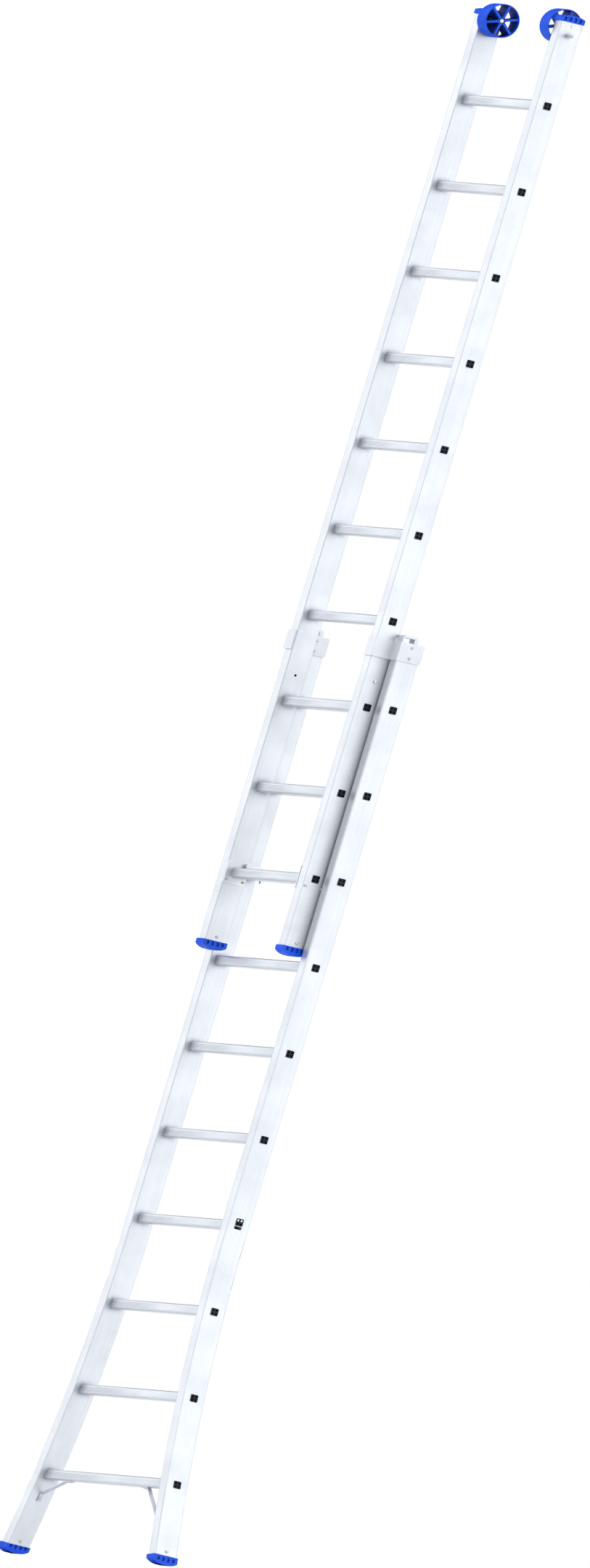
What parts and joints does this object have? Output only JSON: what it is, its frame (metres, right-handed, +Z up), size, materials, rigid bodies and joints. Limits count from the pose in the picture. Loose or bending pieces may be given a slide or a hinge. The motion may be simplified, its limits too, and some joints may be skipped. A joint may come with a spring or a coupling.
{
  "type": "extension ladder",
  "caption": "Two-section push-up extension ladder with outward-curved feet, wall wheels, rung hooks and end guides; the front section slides along the rear one.",
  "frame": {"origin": "centre of the bounding box's bottom, on the floor between the two feet", "axes": "+Z up along the stiles, +X to the climber's right along the rungs, -Y towards the climber"},
  "size_m": [0.6038, 0.1455, 5.048],
  "materials": {
    "stile_aluminium": "satin extruded",
    "rung_aluminium": "satin ribbed",
    "brace_aluminium": "satin",
    "rivet_aluminium": "satin",
    "guide_casting": "fine cast, matte",
    "cap_plastic": "moulded",
    "wheel_plastic": "moulded",
    "plug_plastic": "moulded",
    "bush_plastic": "turned",
    "zinc_steel": "zinc plated"
  },
  "bodies": {
    "base": {"base_stile_left": "stile_aluminium", "base_stile_right": "stile_aluminium", "base_rung_01": "rung_aluminium", "base_rung_02": "rung_aluminium", "base_rung_03": "rung_aluminium", "base_rung_04": "rung_aluminium", "base_rung_05": "rung_aluminium", "base_rung_06": "rung_aluminium", "base_rung_07": "rung_aluminium", "base_rung_08": "rung_aluminium", "base_rung_09": "rung_aluminium", "base_rung_10": "rung_aluminium", "base_rung_plugs": "plug_plastic", "foot_cap_left": "cap_plastic", "foot_cap_right": "cap_plastic", "guide_left": "guide_casting", "guide_right": "guide_casting", "guide_rivets": "rivet_aluminium", "brace_left": "brace_aluminium", "brace_right": "brace_aluminium", "brace_rivets": "rivet_aluminium", "foot_cap_rivets": "rivet_aluminium"},
    "fly": {"fly_stile_left": "stile_aluminium", "fly_foot_cap_left": "cap_plastic", "top_cap_left": "cap_plastic", "wheel_axle_left": "zinc_steel", "hook_plate_left": "zinc_steel", "hook_pin_left": "zinc_steel", "wheel_sleeve_left": "bush_plastic", "fly_stile_right": "stile_aluminium", "fly_foot_cap_right": "cap_plastic", "top_cap_right": "cap_plastic", "wheel_axle_right": "zinc_steel", "hook_plate_right": "zinc_steel", "hook_pin_right": "zinc_steel", "wheel_sleeve_right": "bush_plastic", "fly_rung_01": "rung_aluminium", "fly_rung_02": "rung_aluminium", "fly_rung_03": "rung_aluminium", "fly_rung_04": "rung_aluminium", "fly_rung_05": "rung_aluminium", "fly_rung_06": "rung_aluminium", "fly_rung_07": "rung_aluminium", "fly_rung_08": "rung_aluminium", "fly_rung_09": "rung_aluminium", "fly_rung_10": "rung_aluminium", "fly_rung_plugs": "plug_plastic", "hook_plate_rivets": "rivet_aluminium", "stop_pins": "zinc_steel", "stop_screws": "zinc_steel", "wheel_nuts": "zinc_steel", "fly_cap_rivets": "rivet_aluminium"},
    "wheel_left": {"wheel_left": "wheel_plastic"},
    "wheel_right": {"wheel_right": "wheel_plastic"},
    "hook_left": {"hook_left": "zinc_steel"},
    "hook_right": {"hook_right": "zinc_steel"}
  },
  "joints": [
    {"name": "fly_slide", "type": "slide", "parent": "base", "child": "fly", "axis": [0, 0, 1], "range_m": [-1.96, 0.07]},
    {"name": "wheel_left_spin", "type": "hinge", "parent": "fly", "child": "wheel_left", "pos_m": [-0.12, -0.01875, 4.994], "axis": [1, 0, 0], "continuous": true},
    {"name": "wheel_right_spin", "type": "hinge", "parent": "fly", "child": "wheel_right", "pos_m": [0.12, -0.01875, 4.994], "axis": [1, 0, 0], "continuous": true},
    {"name": "hook_left_pivot", "type": "hinge", "parent": "fly", "child": "hook_left", "pos_m": [-0.1337, -0.00075, 2.239], "axis": [1, 0, 0], "range_deg": [0, 120]},
    {"name": "hook_right_pivot", "type": "hinge", "parent": "fly", "child": "hook_right", "pos_m": [0.1337, -0.00075, 2.239], "axis": [1, 0, 0], "range_deg": [0, 120]}
  ]
}
